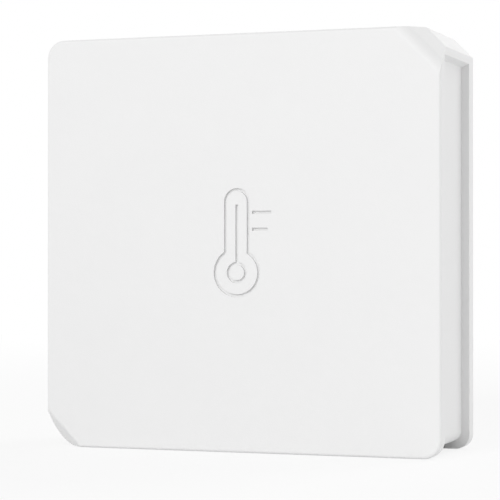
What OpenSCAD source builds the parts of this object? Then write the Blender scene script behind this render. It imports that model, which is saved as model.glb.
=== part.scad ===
// Square wireless temperature and humidity sensor that runs on a coin cell.
// It stands on its lower edge with its face to -Y. The origin is the middle of its footprint.

/* [Case] */
// Width and height of the square case
case_size = 43; // [42:0.5:50]
// Depth from the front face to the back
case_depth = 14; // [13.5:0.1:18]
// Thickness of the front plate
face_t = 1.5; // [1.2:0.1:2]
// Thickness of the rear cover at its rim
rim_t = 2.2; // [1.8:0.1:2.6]
// Thickness of the rear cover's floor
floor_t = 1.2; // [0.8:0.1:1.5]
// Depth of the shadow channel in the sides
channel_depth = 0.8; // [0.4:0.1:1.2]
// Thickness of the side walls inside the channel
wall_t = 1.2; // [1:0.1:1.5]
// Radius of the front plate's two plain corners
plain_r = 1.9; // [1.6:0.1:2.4]
// Radius of the rear cover's two plain corners
rim_plain_r = 1.5; // [1.2:0.1:2.4]
// Radius of the lower faceted corner, and length of both faceted corners' posts along the sides
facet_r = 2.8; // [2.4:0.1:3.4]
// Rounding of the front plate's edge
face_round = 0.3; // [0.1:0.05:0.5]
// Rounding of the rear cover's edge
back_round = 0.5; // [0.2:0.05:0.8]
// Radius of the corners inside the case
inner_r = 1; // [0.6:0.1:1.5]

/* [Corner facets] */
// Length that a facet takes off each edge of the face
facet_leg = 4; // [3.4:0.1:5]
// Slope of a facet against the face, in degrees
facet_slope = 54; // [40:1:62]
// Rounding of the upper facet's inner edge
upper_blend_r = 2; // [1:0.1:2.4]
// Rounding of the lower facet's inner edge
lower_blend_r = 0.4; // [0.2:0.1:1]
// Length that the flat along the upper faceted corner takes off each side
upper_flat = 2; // [2:0.1:2.6]
// Lean of the walls that end the shadow channel
channel_end_lean = 0.35; // [0.05:0.05:0.6]

/* [Icon] */
// Height of the engraved thermometer
icon_h = 11.2; // [10:0.1:14]
// Outer radius of its bulb
bulb_r = 2.54; // [2.2:0.02:3]
// Outer radius of its stem
stem_r = 1.4; // [1.2:0.05:1.8]
// Outer radius of the ring in the bulb
ring_r = 1.1; // [0.9:0.02:1.4]
// Width of the engraved lines
line_w = 0.32; // [0.3:0.02:0.55]
// Depth of the engraved lines
line_depth = 0.3; // [0.1:0.02:0.4]
// Drop from the top of the icon to the top of its inner line
thread_drop = 1.7; // [1:0.1:3]
// Drop from the top of the icon to its first tick
tick_drop = 2.5; // [2:0.1:3.5]
// Distance between the ticks
tick_pitch = 1.73; // [1.2:0.01:2.4]
// Length of the first tick
tick_long = 2.1; // [1.6:0.02:2.4]
// Length of the second tick
tick_short = 1.7; // [1:0.02:1.8]
// Gap between the stem and the ticks
tick_gap = 0.25; // [0.05:0.05:0.4]

/* [Rear cover fit] */
// Gap between the rear cover's tongue and the walls
tongue_gap = 0.1; // [0.05:0.05:0.25]
// Thickness of the tongue and of the hooks
tongue_t = 1; // [0.8:0.1:1.2]
// How far the tongue stands into the case
tongue_h = 1.6; // [1:0.1:2]
// How far the hooks stand into the case
hook_h = 3; // [2.6:0.1:3.4]
// Width of a hook
hook_w = 5; // [3:0.5:7]
// Catch of a hook in the wall
hook_catch = 0.35; // [0.2:0.05:0.5]
// Height of the nose on a hook
hook_nose = 1; // [0.8:0.1:1.4]
// Slot beside a hook
hook_slot = 0.5; // [0.3:0.1:0.8]
// Clearance round a hook's nose in its pocket
hook_gap = 0.15; // [0.1:0.05:0.2]
// Distance of the hooks from the middle of their side
hook_offset = 11; // [9:0.5:13]
// Width of the notch for prising the cover off
notch_w = 8; // [5:0.5:12]
// Height of the prising notch
notch_h = 0.9; // [0.6:0.1:1.1]

/* [Coin cell] */
// Diameter of the coin cell
cell_d = 24.5; // [23:0.5:26]
// Thickness of the coin cell
cell_h = 5; // [4.4:0.1:5.4]
// Rounding of the can's edges
can_round = 0.7; // [0.4:0.05:1]
// Thickness of the cell's sheet metal
can_t = 0.3; // [0.2:0.05:0.4]
// How far the cap stands out of the can
cap_stand = 0.45; // [0.3:0.05:0.7]
// Width of the can's crimped lip
lip_w = 0.95; // [0.8:0.05:1.3]
// Width of the gasket that shows round the cap
gasket_w = 0.35; // [0.2:0.05:0.5]

/* [Cell holder] */
// Gap between the cell and the rear cover
cell_gap = 0.75; // [0.7:0.05:1]
// Gap between the cell and the holder's wall
holder_gap = 0.15; // [0.1:0.05:0.3]
// Thickness of the holder's wall
holder_t = 1.2; // [1:0.1:1.4]
// Thickness of the holder's base
base_t = 0.8; // [0.7:0.1:1.2]
// How far the cell stands out of the holder's wall
cell_proud = 1.3; // [0.8:0.1:2]
// Reach of the noses over the cell
nose_reach = 0.55; // [0.4:0.05:0.8]
// Thickness of the noses over the cell
nose_t = 0.5; // [0.4:0.05:0.55]
// Clearance between the noses and the cell
nose_gap = 0.05; // [0.02:0.01:0.1]
// Arc that a nose covers, in degrees
nose_arc = 18; // [12:1:24]
// Radius of the opening in the holder's base
base_hole_r = 8.5; // [8:0.1:9]
// Distance of the cell's middle below the middle of the case
cell_drop = 2; // [1.5:0.1:2.5]
// Diameter of the holder's pegs
peg_d = 1.2; // [0.8:0.1:1.4]
// Thickness of the contact leaves
leaf_t = 0.2; // [0.15:0.05:0.25]
// Width of the contact leaves
leaf_w = 4; // [3:0.5:4.5]
// Clearance between a leaf and the cell
leaf_gap = 0.03; // [0.02:0.01:0.06]

/* [Board] */
// Thickness of the circuit board
board_t = 1; // [0.8:0.1:1.6]
// Gap between the board and the walls
board_gap = 0.3; // [0.2:0.05:0.5]
// Distance of the locating pins from the board's edges
pin_inset = 2.4; // [2.2:0.1:2.8]
// Diameter of the locating pins
pin_d = 1.4; // [1:0.1:1.6]
// Clearance round pins and pegs in the board
pin_gap = 0.1; // [0.05:0.05:0.15]
// Diameter of the bosses that carry the board
boss_d = 3.2; // [2.8:0.1:3.6]
// Reach of the board latches from the wall
latch_reach = 0.9; // [0.8:0.05:1.1]
// Width of a board latch
latch_w = 4; // [3:0.5:5]
// Distance of the board latches from the middle of their side
latch_offset = 5; // [3:0.5:5.5]
// Clearance between a latch and the board
latch_gap = 0.05; // [0.02:0.01:0.1]
// Thickness of the etched copper
copper_t = 0.05; // [0.03:0.01:0.08]

/* [Vents and sensor chip] */
// Number of vent slots in the lower wall
vent_count = 5; // [3:1:5]
// Width of a vent slot
vent_w = 0.9; // [0.6:0.1:1.1]
// Distance between vent slots
vent_pitch = 1.8; // [1.5:0.1:1.9]
// Height of a vent slot
vent_h = 2.8; // [2:0.1:3]
// Side of the sensor chip
sensor_w = 2.5; // [2:0.1:3]
// Height of the sensor chip
sensor_h = 0.9; // [0.7:0.1:1.2]
// Diameter of the sensor chip's port
port_d = 1; // [0.6:0.1:1.4]
// Distance of the sensor chip's middle from the board's side edge
sensor_inset = 5.2; // [5:0.1:5.6]
// Distance of the sensor chip's middle from the board's lower edge
sensor_rise = 3.2; // [2.6:0.1:3.6]
// Width of the slot that cuts the sensor's tongue free
slot_w = 0.8; // [0.5:0.1:1]

/* [Reset switch] */
// Width of the switch along the board's edge
switch_w = 4.6; // [4.4:0.1:5.4]
// Depth of the switch along its press
switch_d = 2.8; // [2.6:0.1:3]
// Height of the switch
switch_h = 1.8; // [1.6:0.1:2.2]
// Thickness of the switch's walls
switch_wall = 0.4; // [0.3:0.05:0.45]
// Distance of the switch below the middle of the case
switch_drop = 8.5; // [8:0.5:9.5]
// Width of the plunger
plunger_w = 2.2; // [1.6:0.1:2.4]
// Thickness of the plunger
plunger_h = 0.9; // [0.7:0.1:1]
// How far the plunger stands out of the switch
plunger_stand = 0.9; // [0.6:0.1:1.1]
// How much wider the plunger's flange is on each side
flange_side = 0.4; // [0.25:0.05:0.5]
// Thickness of the plunger's flange
flange_t = 0.4; // [0.3:0.05:0.5]
// Clearance round the plunger
plunger_gap = 0.06; // [0.04:0.01:0.08]
// Gap between the plunger's tip and the wall
tip_gap = 0.4; // [0.3:0.05:0.6]
// Rise of the snap dome
dome_rise = 0.35; // [0.3:0.05:0.45]
// Thickness of the snap dome
dome_t = 0.08; // [0.05:0.01:0.12]
// Thickness of the switch's metal shell
shell_t = 0.15; // [0.1:0.05:0.2]
// Diameter of the pinhole in the wall
pinhole_d = 1.2; // [0.8:0.1:1.5]

/* [Chips and light] */
// Side of the radio chip
chip_w = 6; // [5:0.5:6.5]
// Height of the radio chip
chip_h = 0.85; // [0.7:0.05:1]
// Distance of the radio chip's middle from the board's side edge
chip_inset = 4.2; // [3.8:0.1:4.8]
// Distance of the radio chip's middle from the board's upper edge
chip_fall = 4.2; // [3.8:0.1:4.8]
// Size of the radio crystal: length, width, height
radio_crystal_size = [3.2, 2.5, 0.7]; // [0.4:0.1:3.4]
// Size of the clock crystal: length, width, height
clock_crystal_size = [2, 1.2, 0.6]; // [0.4:0.1:2.4]
// Size of a capacitor: length, width, height
capacitor_size = [1, 0.5, 0.5]; // [0.3:0.05:1.2]
// Size of a resistor: length, width, height
resistor_size = [1, 0.5, 0.35]; // [0.3:0.05:1.2]
// Size of an inductor: length, width, height
inductor_size = [1, 0.6, 0.55]; // [0.3:0.05:1.2]
// Size of the status light: length, width, height
led_size = [1.6, 0.8, 0.7]; // [0.4:0.1:2]
// Distance of the status light from the board's upper edge
led_fall = 4; // [3.5:0.5:8]
// Diameter of the thinned spot in the front plate
led_spot_d = 3; // [2:0.5:4]
// Plastic left in front of the status light
led_skin = 0.6; // [0.4:0.1:0.8]

/* [Aerial and pads] */
// Number of folds of the aerial
fold_count = 6; // [4:1:6]
// Distance between the folds
fold_pitch = 3; // [2.4:0.1:3.1]
// Height of the folds
fold_h = 3.6; // [3:0.1:4]
// Width of the aerial's copper
trace_w = 0.7; // [0.5:0.1:1]
// Distance of the aerial from the board's upper edge
trace_inset = 1.3; // [1.1:0.1:1.6]
// Number of test pads
pad_count = 4; // [2:1:4]
// Diameter of a test pad
pad_d = 1.1; // [0.8:0.1:1.3]
// Distance between test pads
pad_pitch = 1.7; // [1.5:0.1:1.8]
// Distance of the test pads from the board's lower edge
pad_rise = 2.2; // [1.8:0.1:2.6]

/* [Hidden] */
$fn = 64;
// How far a cut runs past the surface that it opens
spare = 1;

case_half = case_size / 2;
wall_half = case_half - channel_depth;
cavity_half = wall_half - wall_t;
board_half = cavity_half - board_gap;

// Angle at which a rounding meets the two planes that it joins, at a facet or at the flat
blend_ease = 5;

// Heights above the back of the case
plate_z = case_depth - face_t;
cell_z = floor_t + cell_gap;
cap_z = cell_z + cell_h;
board_z = cap_z + base_t;
board_front_z = board_z + board_t;

cell_r = cell_d / 2;
cell_at = [0, -cell_drop];
holder_inner_r = cell_r + holder_gap;
holder_r = holder_inner_r + holder_t;
holder_rim_z = cell_z + cell_proud;
nose_z = cell_z - nose_gap;
nose_count = 3;
// Gaps in the holder's wall: one for the contact, then two for fingertips
wall_gaps = [[-14, 14], [102, 138], [222, 258]];
peg_angles = [90, 270];
peg_ring_r = (base_hole_r + holder_r) / 2;

pin_at = board_half - pin_inset;
chip_at = [chip_inset - board_half, board_half - chip_fall];
sensor_at = [board_half - sensor_inset, sensor_rise - board_half];
// Clear strip of board between the sensor chip and the slot round it
sensor_margin = 1.1;
slot_reach = sensor_w / 2 + sensor_margin;
led_at = [0, board_half - led_fall];
switch_x = tip_gap + plunger_stand - cavity_half;
switch_room = switch_d - 2 * switch_wall;
flange_w = plunger_w + 2 * flange_side;
dome_gap = 0.02;
// Rest of the space behind the flange, which the plunger's nub fills up to the dome
nub_d = switch_room - plunger_gap - flange_t - dome_rise - dome_t - dome_gap;
dome_r = (flange_w * flange_w / 4 + dome_rise * dome_rise) / (2 * dome_rise);

// Clear strip of board beside a chip, and between two small components
chip_margin = 0.7;
component_gap = 0.4;
// Places of the small components from the middle of the radio chip: a column beside it and a row under it
chip_side = chip_w / 2 + chip_margin + capacitor_size[0] / 2;
chip_foot = chip_w / 2 + chip_margin + resistor_size[1] / 2;
foot_pitch = resistor_size[0] + component_gap;
capacitor_pitch = capacitor_size[1] + component_gap;
inductor_pitch = inductor_size[1] + component_gap;
inductor_start = capacitor_pitch + component_gap + (capacitor_size[1] + inductor_size[1]) / 2;
chip_capacitors_at = [
    for (k = [-1:2]) [chip_side, k * capacitor_pitch],
    for (side = [-1, 1]) [side * foot_pitch * 3 / 2, -chip_foot]
];
chip_resistors_at = [for (side = [-1, 1]) [side * foot_pitch / 2, -chip_foot]];
chip_inductors_at = [for (k = [0, 1]) [chip_side, -inductor_start - k * inductor_pitch]];
// The crystals stand under that row, in line with the chip's outer edge
radio_crystal_at = chip_at + [
    (radio_crystal_size[0] - chip_w) / 2,
    -chip_foot - chip_margin - (resistor_size[1] + radio_crystal_size[1]) / 2
];
clock_crystal_at = radio_crystal_at + [
    (clock_crystal_size[0] - radio_crystal_size[0]) / 2,
    -chip_margin - (radio_crystal_size[1] + clock_crystal_size[1]) / 2
];
// Places from the middle of the sensor chip: a column past the slot round it
sensor_side = slot_reach + slot_w + chip_margin + capacitor_size[0] / 2;
sensor_pitch = component_gap + (capacitor_size[1] + resistor_size[1]) / 2;
sensor_capacitors_at = [[-sensor_side, -sensor_pitch * 3 / 2]];
sensor_resistors_at = [for (k = [1, 5]) [-sensor_side, -sensor_pitch * k / 2]];
// Lid of a crystal: its height and how far it is set in
lid_h = 0.25;
lid_inset = 0.15;
// Dimple that marks the radio chip's first contact
dimple_r = 0.4;
dimple_depth = 0.1;
// How far a component's metal ends stand out of its body
end_skin = 0.03;

// Board latches: height of the lead-in and of the flat on its edge
latch_lead = 1.6;
latch_land = 0.4;
// Feet and crown of the contact leaves
leaf_foot = 2;
leaf_crown = 2;

// Heights and radii of the coin cell's pieces
can_h = cell_h - cap_stand;
lip_r = cell_r - lip_w;
cap_r = lip_r - gasket_w;
core_r = cap_r - can_t;
shoulder_r = 2 * can_t;
skirt_z = can_t + gasket_w;

// Pieces are drawn lying on their back, on z = 0, and this stands them up with the face to -Y
module stand_up() {
    translate([0, case_depth / 2, case_half]) rotate([90, 0, 0]) children();
}

// Rounded square with one radius on its lower left corner, which is faceted, and another on the rest
module square_outline(half, faceted, plain) {
    polygon([
        [half, half - plain], [half - plain, half], [plain - half, half], [-half, half - plain],
        [-half, faceted - half], [faceted - half, -half], [half - plain, -half], [half, plain - half]
    ]);
    translate((faceted - half) * [1, 1]) circle(faceted);
    for (way = [[1, 1], [-1, 1], [1, -1]]) translate((half - plain) * way) circle(plain);
}

// Section of a plate's edge, with its outer upper corner rounded
module edge_section(reach, t, round) {
    square([reach, t - round]);
    square([reach - round, t]);
    translate([reach - round, t - round]) circle(round);
}

// Square plate on z = 0 whose upper edge is rounded all the way round
module rounded_plate(half, t, round, faceted, plain) {
    reach = max(faceted, plain);
    linear_extrude(t) square_outline(half - 2 * round, faceted - 2 * round, plain - 2 * round);
    for (k = [0:3]) rotate(90 * k) {
        r = k == 2 ? faceted : plain;
        next_r = k == 3 ? faceted : plain;
        translate([half - r, half - r, 0]) rotate_extrude(angle = 90) edge_section(r, t, round);
        translate([half - reach, half - r, 0]) rotate([90, 0, 0])
            linear_extrude(2 * half - r - next_r) edge_section(reach, t, round);
    }
}

// Outline of the side walls: set in by the channel, with a full-size post in the two faceted corners
module wall_outline() {
    square_outline(wall_half, facet_r - channel_depth, plain_r - channel_depth);
    end = case_half - facet_r;
    intersection() {
        square_outline(case_half, facet_r, plain_r);
        for (turn = [0, 180]) rotate(turn) polygon([
            [case_half, case_half], [case_half, end], [wall_half, end - channel_end_lean],
            [end - channel_end_lean, wall_half], [end, case_half]
        ]);
    }
}

// Everything beyond the flat that runs along the upper faceted corner from front to back
module flat_cut() {
    block = 4 * upper_flat;
    edge = case_half - upper_flat / 2;
    translate([edge, edge, -spare]) rotate(45) translate([0, -block / 2, 0])
        cube([block, block, case_depth + 2 * spare]);
}

// Rounding of the edge between that flat and the back
module flat_rounding() {
    block = 4 * upper_flat;
    edge = case_half - upper_flat / 2;
    drop = back_round * cos(blend_ease);
    translate([edge, edge, 0]) rotate([90, 0, 45]) translate([-drop, 0, -block / 2])
        linear_extrude(block) difference() {
            translate([0, -spare]) square(drop + spare);
            translate([0, drop]) circle(back_round);
        }
}

// Everything in front of the sloping plane that cuts a faceted corner and of the rounding of its inner edge.
// The rounding meets the face and the plane at a slight angle, by blend_ease.
module facet_cut(blend_r) {
    block = 4 * facet_leg;
    edge = case_half - facet_leg / 2;
    end = facet_slope - blend_ease;
    drop = blend_r * cos(blend_ease);
    back = (drop - blend_r * cos(end)) / tan(facet_slope) - blend_r * sin(end);
    translate([edge, edge, case_depth]) rotate(45) {
        rotate([0, facet_slope, 0]) translate([-block / 2, -block / 2, 0]) cube([block, block, block]);
        rotate([90, 0, 0]) translate([back, -drop, -block / 2]) linear_extrude(block) difference() {
            polygon([[0, 0], [0, block], [block * sin(facet_slope), block * cos(facet_slope)]]);
            circle(blend_r);
        }
    }
}

// Bulb and stem of the thermometer, smaller all round by inset
module thermometer(inset) {
    top = icon_h / 2 - stem_r;
    bulb = bulb_r - icon_h / 2;
    translate([0, bulb]) circle(bulb_r - inset);
    translate([inset - stem_r, bulb]) square([2 * (stem_r - inset), top - bulb]);
    translate([0, top]) circle(stem_r - inset);
}

// Lines of the icon: outline, ring with its thread, and two ticks
module icon_lines() {
    bulb = bulb_r - icon_h / 2;
    difference() {
        thermometer(0);
        thermometer(line_w);
    }
    difference() {
        translate([0, bulb]) circle(ring_r);
        translate([0, bulb]) circle(ring_r - line_w);
    }
    translate([-line_w / 2, bulb + ring_r - line_w / 2])
        square([line_w, icon_h / 2 - thread_drop - bulb - ring_r + line_w / 2]);
    for (k = [0, 1]) translate([stem_r + tick_gap, icon_h / 2 - tick_drop - k * tick_pitch - line_w / 2])
        square([k == 0 ? tick_long : tick_short, line_w]);
}

// Wedge on the inside of a wall that holds the board down on its bosses
module board_latch() {
    catch_z = board_z - latch_gap;
    translate([latch_w / 2, cavity_half, 0]) rotate([90, 0, -90]) linear_extrude(latch_w) polygon([
        [spare / 2, catch_z], [-latch_reach, catch_z], [-latch_reach, catch_z - latch_land],
        [0, catch_z - latch_lead], [spare / 2, catch_z - latch_lead]
    ]);
}

// Places along the left and right sides where the rear cover's hooks catch
module at_hooks() {
    for (turn = [0, 180], along = [-hook_offset, hook_offset])
        rotate(turn) translate([0, along, 0]) children();
}

module front_cover() {
    color("#f1f1ef") stand_up() difference() {
        union() {
            translate([0, 0, plate_z]) rounded_plate(case_half, face_t, face_round, facet_r, plain_r);
            translate([0, 0, rim_t]) linear_extrude(plate_z - rim_t) difference() {
                wall_outline();
                square_outline(cavity_half, inner_r, inner_r);
            }
            for (x = [-pin_at, pin_at], y = [-pin_at, pin_at]) translate([x, y, board_front_z])
                cylinder(d = boss_d, h = plate_z - board_front_z);
            for (side = [-1, 1]) translate([side * pin_at, side * pin_at, board_z - pin_d / 2])
                cylinder(d = pin_d, h = board_t + pin_d / 2);
            for (turn = [0, 180], along = [-latch_offset, latch_offset])
                rotate(turn) translate([along, 0, 0]) board_latch();
        }
        facet_cut(upper_blend_r);
        rotate(180) facet_cut(lower_blend_r);
        flat_cut();
        translate([0, 0, case_depth - line_depth]) linear_extrude(line_depth + spare) icon_lines();
        translate([led_at[0], led_at[1], plate_z - spare])
            cylinder(d = led_spot_d, h = spare + face_t - led_skin);
        at_hooks()
            translate([cavity_half - spare, -hook_w / 2 - hook_gap, rim_t + hook_h - hook_nose - hook_gap])
                cube([spare + hook_catch + hook_gap, hook_w + 2 * hook_gap, hook_nose + 2 * hook_gap]);
        translate([-wall_half - spare, -switch_drop, board_z - switch_h / 2]) rotate([0, 90, 0])
            cylinder(d = pinhole_d, h = wall_t + 2 * spare);
        for (k = [0:vent_count - 1])
            translate([sensor_at[0] + (k - (vent_count - 1) / 2) * vent_pitch, 0, 0]) vent_slot();
    }
}

// Slot with round ends through the lower wall, from the board's back towards the rear
module vent_slot() {
    straight = vent_h - vent_w;
    depth = wall_t + spare;
    translate([0, -wall_half - spare / 2, board_z - vent_h / 2]) {
        translate([-vent_w / 2, 0, -straight / 2]) cube([vent_w, depth, straight]);
        for (end = [-1, 1]) translate([0, 0, end * straight / 2]) rotate([-90, 0, 0])
            cylinder(d = vent_w, h = depth);
    }
}

// Hook of the rear cover on its right side, with the nose that snaps into the wall
module cover_hook() {
    outer = cavity_half - tongue_gap;
    top = rim_t + hook_h;
    chamfer = hook_nose - hook_catch;
    rotate([90, 0, 0]) translate([0, 0, -hook_w / 2]) linear_extrude(hook_w) polygon([
        [outer - tongue_t, floor_t / 2], [outer, floor_t / 2], [outer, top - hook_nose],
        [outer + hook_catch, top - hook_nose], [outer + hook_catch, top - chamfer],
        [outer, top], [outer - tongue_t, top]
    ]);
}

module rear_cover() {
    outer = cavity_half - tongue_gap;
    inner = outer - tongue_t;
    notch_depth = channel_depth + wall_t / 2;
    color("#f1f1ef") stand_up() difference() {
        union() {
            difference() {
                translate([0, 0, rim_t]) mirror([0, 0, 1])
                    rounded_plate(case_half, rim_t, back_round, facet_r, rim_plain_r);
                translate([0, 0, floor_t]) linear_extrude(rim_t) square_outline(inner, inner_r, inner_r);
            }
            translate([0, 0, floor_t]) linear_extrude(rim_t + tongue_h - floor_t) difference() {
                square_outline(outer, inner_r, inner_r);
                square_outline(inner, inner_r, inner_r);
                for (turn = [0, 180], along = [-hook_offset, hook_offset]) rotate(turn)
                    translate([inner - spare, along - hook_w / 2 - hook_slot])
                        square([tongue_t + 2 * spare, hook_w + 2 * hook_slot]);
            }
            at_hooks() cover_hook();
        }
        flat_cut();
        flat_rounding();
        translate([-notch_w / 2, -case_half - spare, rim_t - notch_h])
            cube([notch_w, spare + notch_depth, notch_h + spare]);
    }
}

module circuit_board() {
    slot_left = sensor_at[0] - slot_reach - slot_w;
    slot_top = sensor_at[1] + slot_reach;
    hole_d = pin_d + 2 * pin_gap;
    peg_hole_d = peg_d + 2 * pin_gap;
    color("#1f6b45") stand_up() translate([0, 0, board_z]) linear_extrude(board_t) difference() {
        square_outline(board_half, inner_r, inner_r);
        for (side = [-1, 1]) translate([side * pin_at, side * pin_at]) circle(d = hole_d);
        translate(cell_at) for (angle = peg_angles) rotate(angle) translate([peg_ring_r, 0])
            circle(d = peg_hole_d);
        translate([slot_left, slot_top - 2 * slot_reach]) square([slot_w, 2 * slot_reach + slot_w]);
        translate([slot_left, slot_top]) square([2 * slot_reach + slot_w, slot_w]);
    }
}

// Part of a ring, from one angle to another, whose section is drawn outwards from the axis
module arc_ring(start, end) {
    rotate(start) rotate_extrude(angle = end - start) children();
}

module battery_holder() {
    nose_step = 360 / nose_count;
    top_z = nose_z - nose_t;
    cut_r = holder_inner_r - nose_reach - spare;
    cut_w = holder_r + spare - cut_r;
    color("#26272a") stand_up() translate([cell_at[0], cell_at[1], 0]) {
        difference() {
            rotate_extrude() polygon([
                [base_hole_r, board_z], [holder_r, board_z], [holder_r, top_z], [holder_inner_r, top_z],
                [holder_inner_r - nose_reach, nose_z], [holder_inner_r, nose_z], [holder_inner_r, cap_z],
                [base_hole_r, cap_z]
            ]);
            for (k = [0:nose_count - 1]) rotate((k + 1) * nose_step)
                arc_ring((nose_arc - nose_step) / 2, (nose_step - nose_arc) / 2)
                    translate([cut_r, top_z - spare]) square([cut_w, spare + holder_rim_z - top_z]);
            for (gap = wall_gaps) arc_ring(gap[0], gap[1])
                translate([cut_r, top_z - spare]) square([cut_w, spare + cap_z - top_z]);
        }
        for (angle = peg_angles) rotate(angle) translate([peg_ring_r, 0, cap_z])
            cylinder(d = peg_d, h = base_t + board_t);
    }
}

module positive_contact() {
    touch = cell_r + leaf_gap;
    riser = holder_r + leaf_t;
    bend_z = cell_z + cell_h / 2;
    color("#d8d4c4") stand_up() translate([cell_at[0], cell_at[1] + leaf_w / 2, 0]) rotate([90, 0, 0])
        linear_extrude(leaf_w) polygon([
            [riser + leaf_foot, board_z], [riser, board_z], [riser, cap_z - leaf_t],
            [touch, bend_z + leaf_t],
            [touch, bend_z - leaf_t], [touch + leaf_t, bend_z - leaf_t], [touch + leaf_t, bend_z],
            [riser + leaf_t, cap_z - 2 * leaf_t], [riser + leaf_t, board_z - leaf_t],
            [riser + leaf_foot, board_z - leaf_t]
        ]);
}

module negative_contact() {
    crown_z = cap_z + leaf_gap;
    reach = base_hole_r - spare;
    tip = reach - leaf_foot;
    color("#d8d4c4") stand_up() translate([cell_at[0], cell_at[1] + leaf_w / 2, 0]) rotate([90, 0, 0])
        linear_extrude(leaf_w) polygon([
            [-reach, board_z], [-reach, board_z - leaf_t], [-tip, board_z - leaf_t], [-leaf_crown, crown_z],
            [leaf_crown, crown_z], [tip, board_z - 2 * leaf_t], [tip, board_z - leaf_t],
            [leaf_crown, crown_z + leaf_t], [-leaf_crown, crown_z + leaf_t], [-tip, board_z]
        ]);
}

// Revolves a section of the coin cell, whose can sits on z = 0 with its cap upwards
module cell_turned() {
    stand_up() translate([cell_at[0], cell_at[1], cell_z]) rotate_extrude() children();
}

module cell_can() {
    color("#c9ccce") cell_turned() difference() {
        union() {
            square([cell_r - can_round, can_h]);
            translate([0, can_round]) square([cell_r, can_h - 2 * can_round]);
            for (z = [can_round, can_h - can_round]) translate([cell_r - can_round, z]) circle(can_round);
        }
        translate([0, can_t]) square([cell_r - can_round, can_h - 2 * can_t]);
        translate([0, can_h - 2 * can_t]) square([lip_r, 3 * can_t]);
    }
}

module cell_gasket() {
    color("#3a3b3d") cell_turned() {
        translate([cap_r, can_t]) square([cell_r - can_round - cap_r, can_h - 2 * can_t]);
        translate([cap_r, can_h - 2 * can_t]) square([lip_r - cap_r, 2 * can_t]);
        translate([core_r, can_t]) square([cell_r - can_round - core_r, gasket_w]);
    }
}

// Cup with a rounded shoulder, whose skirt stands on the gasket's foot
module cell_cap() {
    color("#c2c4c5") cell_turned() difference() {
        union() {
            translate([0, skirt_z]) square([cap_r, cell_h - shoulder_r - skirt_z]);
            translate([0, cell_h / 2]) square([cap_r - shoulder_r, cell_h / 2]);
            translate([cap_r - shoulder_r, cell_h - shoulder_r]) circle(shoulder_r);
        }
        square([core_r, cell_h - shoulder_r - can_t]);
        translate([0, cell_h / 2]) square([cap_r - shoulder_r, cell_h / 2 - can_t]);
    }
}

module cell_core() {
    color("#4a4a4a") cell_turned() translate([0, can_t]) square([core_r, cell_h - shoulder_r - 2 * can_t]);
}

// Places a piece drawn upwards from z = 0 on the back of the board, at a point of the board
module on_board(at) {
    stand_up() translate([at[0], at[1], board_z]) mirror([0, 0, 1]) children();
}

// Leadless package with a shallow dimple that marks its first contact
module radio_chip() {
    dimple_at = chip_w / 2 - 3 * dimple_r;
    color("#2b2c2e") on_board(chip_at) difference() {
        translate([-chip_w / 2, -chip_w / 2, 0]) cube([chip_w, chip_w, chip_h]);
        translate([-dimple_at, dimple_at, chip_h - dimple_depth]) cylinder(r = dimple_r, h = spare);
    }
}

// Crystal in a ceramic base with a smaller metal lid on it
module crystal_can(size) {
    translate([-size[0] / 2, -size[1] / 2, 0]) cube([size[0], size[1], size[2] - lid_h]);
    translate([lid_inset - size[0] / 2, lid_inset - size[1] / 2, 0])
        cube([size[0] - 2 * lid_inset, size[1] - 2 * lid_inset, size[2]]);
}

module radio_crystal() {
    color("#c8b98a") on_board(radio_crystal_at) crystal_can(radio_crystal_size);
}

module clock_crystal() {
    color("#c8b98a") on_board(clock_crystal_at) crystal_can(clock_crystal_size);
}

module climate_sensor() {
    color("#3a3a3c") on_board(sensor_at) difference() {
        translate([-sensor_w / 2, -sensor_w / 2, 0]) cube([sensor_w, sensor_w, sensor_h]);
        translate([0, 0, sensor_h / 2]) cylinder(d = port_d, h = sensor_h);
    }
}

// Places a piece drawn upwards from z = 0 on the front of the board
module on_board_front(at) {
    stand_up() translate([at[0], at[1], board_front_z]) children();
}

module led_base() {
    h = led_size[2] / 2;
    color("#e9e6da") on_board_front(led_at) translate([-led_size[0] / 2, -led_size[1] / 2, 0])
        cube([led_size[0], led_size[1], h]);
}

module led_lens() {
    h = led_size[2] / 2;
    lens_w = led_size[0] - led_size[1] / 2;
    color("#f6efd2") on_board_front(led_at) translate([-lens_w / 2, -led_size[1] / 2, h])
        cube([lens_w, led_size[1], h]);
}

// Places the reset switch: x runs inwards along the press from the switch's outer face, z off the board
module at_switch() {
    on_board([switch_x, -switch_drop]) children();
}

module switch_base() {
    room_h = plunger_h + 2 * plunger_gap;
    color("#1d1e20") at_switch() difference() {
        translate([0, -switch_w / 2, 0]) cube([switch_d, switch_w, switch_h]);
        translate([-spare, -plunger_w / 2 - plunger_gap, (switch_h - room_h) / 2])
            cube([spare + switch_d / 2, plunger_w + 2 * plunger_gap, room_h]);
        translate([switch_wall, -flange_w / 2 - plunger_gap, (switch_h - room_h) / 2])
            cube([switch_room, flange_w + 2 * plunger_gap, room_h]);
    }
}

module switch_shell() {
    leg_inset = switch_d / 6;
    color("#c9ccce") at_switch() difference() {
        translate([leg_inset, -switch_w / 2 - shell_t, 0])
            cube([switch_d - 2 * leg_inset, switch_w + 2 * shell_t, switch_h + shell_t]);
        translate([0, -switch_w / 2, -spare]) cube([switch_d, switch_w, switch_h + spare]);
    }
}

module switch_plunger() {
    flange_x = switch_wall + plunger_gap;
    nub_w = plunger_w / 2;
    color("#e8e4d8") at_switch() translate([0, 0, (switch_h - plunger_h) / 2]) {
        translate([-plunger_stand, -plunger_w / 2, 0])
            cube([plunger_stand + flange_x + flange_t, plunger_w, plunger_h]);
        translate([flange_x, -flange_w / 2, 0]) cube([flange_t, flange_w, plunger_h]);
        translate([flange_x, -nub_w / 2, 0]) cube([flange_t + nub_d, nub_w, plunger_h]);
    }
}

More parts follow.
